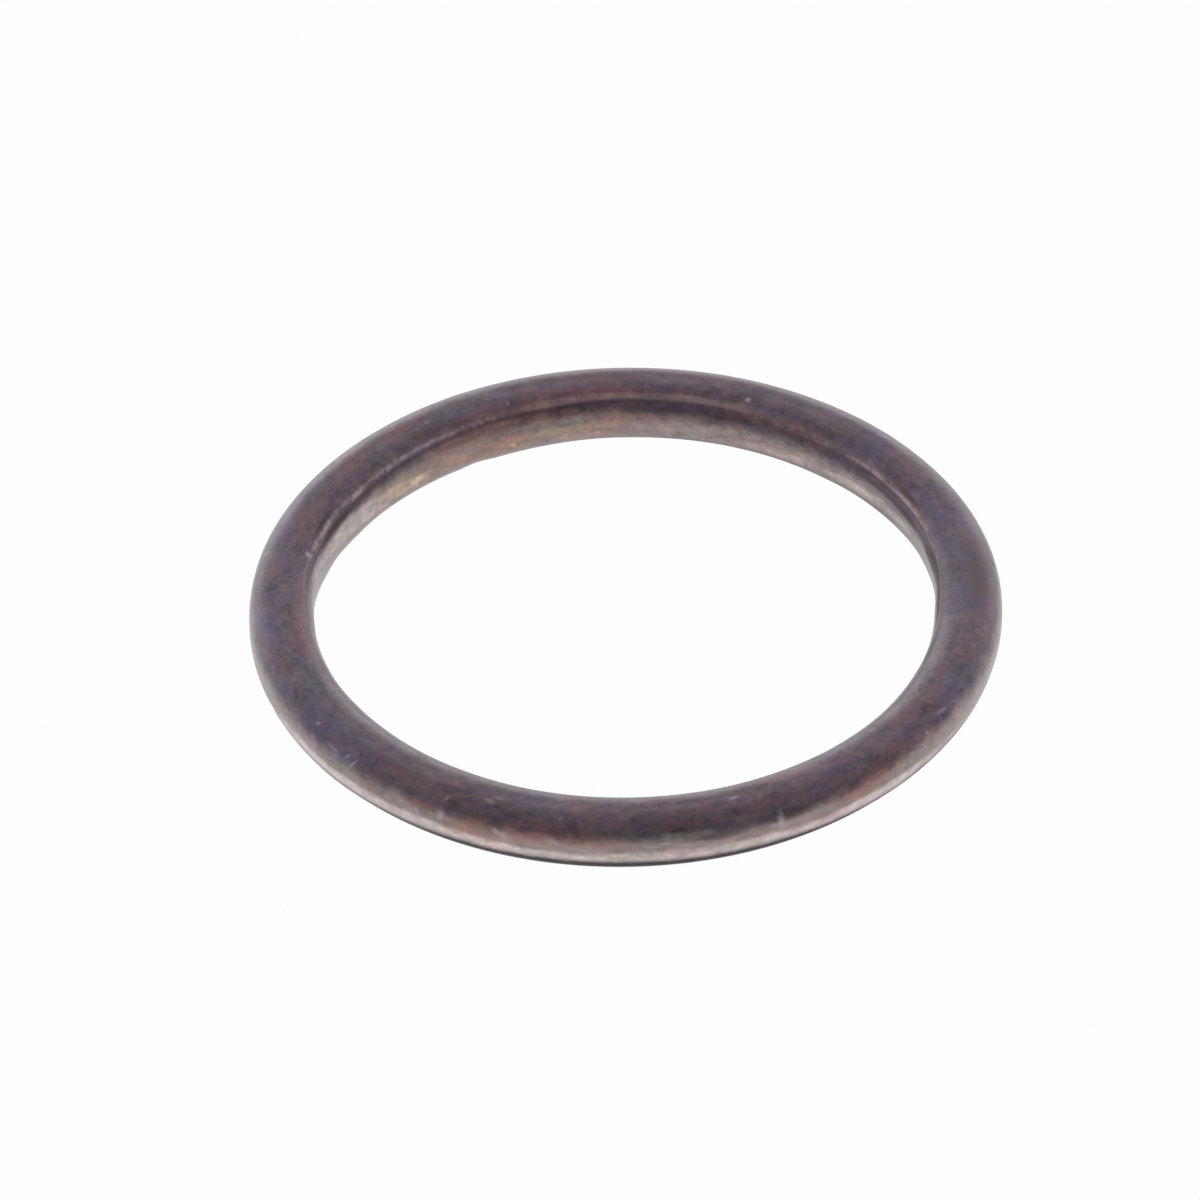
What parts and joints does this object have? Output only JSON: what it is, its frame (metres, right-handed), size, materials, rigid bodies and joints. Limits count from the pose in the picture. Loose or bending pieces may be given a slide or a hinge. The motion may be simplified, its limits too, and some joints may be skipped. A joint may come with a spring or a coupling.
{
  "type": "exhaust gasket ring",
  "caption": "Round crush gasket ring rolled from copper sheet, with a lapped edge inside its bore, that seals an exhaust manifold port.",
  "frame": {"origin": "centre of the bore at the lower sealing face", "axes": "+Z along the bore's axis, from the plain lower face to the upper face, which the lapped edge lies beside"},
  "size_m": [0.0458, 0.0458, 0.0037],
  "materials": {
    "copper": "heat-tinted copper, dark brown and purple oxide, satin"
  },
  "bodies": {
    "root": {"gasket_ring": "copper"}
  },
  "joints": []
}
